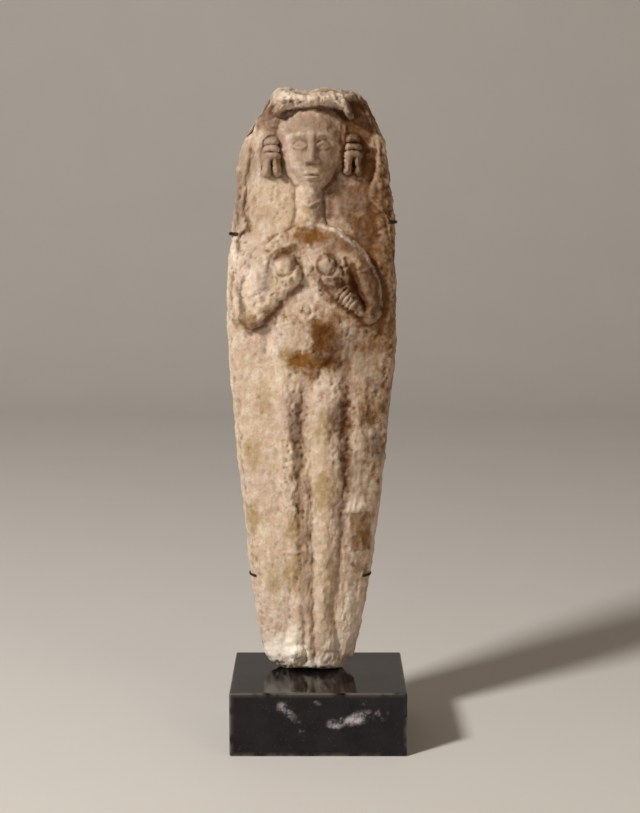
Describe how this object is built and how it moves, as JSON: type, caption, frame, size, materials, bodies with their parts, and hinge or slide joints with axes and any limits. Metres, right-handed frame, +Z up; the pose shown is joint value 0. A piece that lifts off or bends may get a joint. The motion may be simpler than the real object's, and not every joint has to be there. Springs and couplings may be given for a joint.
{
  "type": "idol plaque figurine on a display block",
  "caption": "Mould-made terracotta idol plaque with a standing woman in relief, held upright by a wire cradle on a black block.",
  "frame": {"origin": "middle of the block's underside", "axes": "+Z up along the plaque, +X to the right of someone facing the figure, -Y towards that person"},
  "size_m": [0.0517, 0.042, 0.1885],
  "materials": {
    "terracotta": "matt, worn and stained, with a pale earthy crust",
    "dark_brass": "brass wire, darkened",
    "black_gloss": "black lacquer, polished"
  },
  "bodies": {
    "root": {"plaque": "terracotta", "cradle": "dark_brass", "block": "black_gloss"}
  },
  "joints": []
}
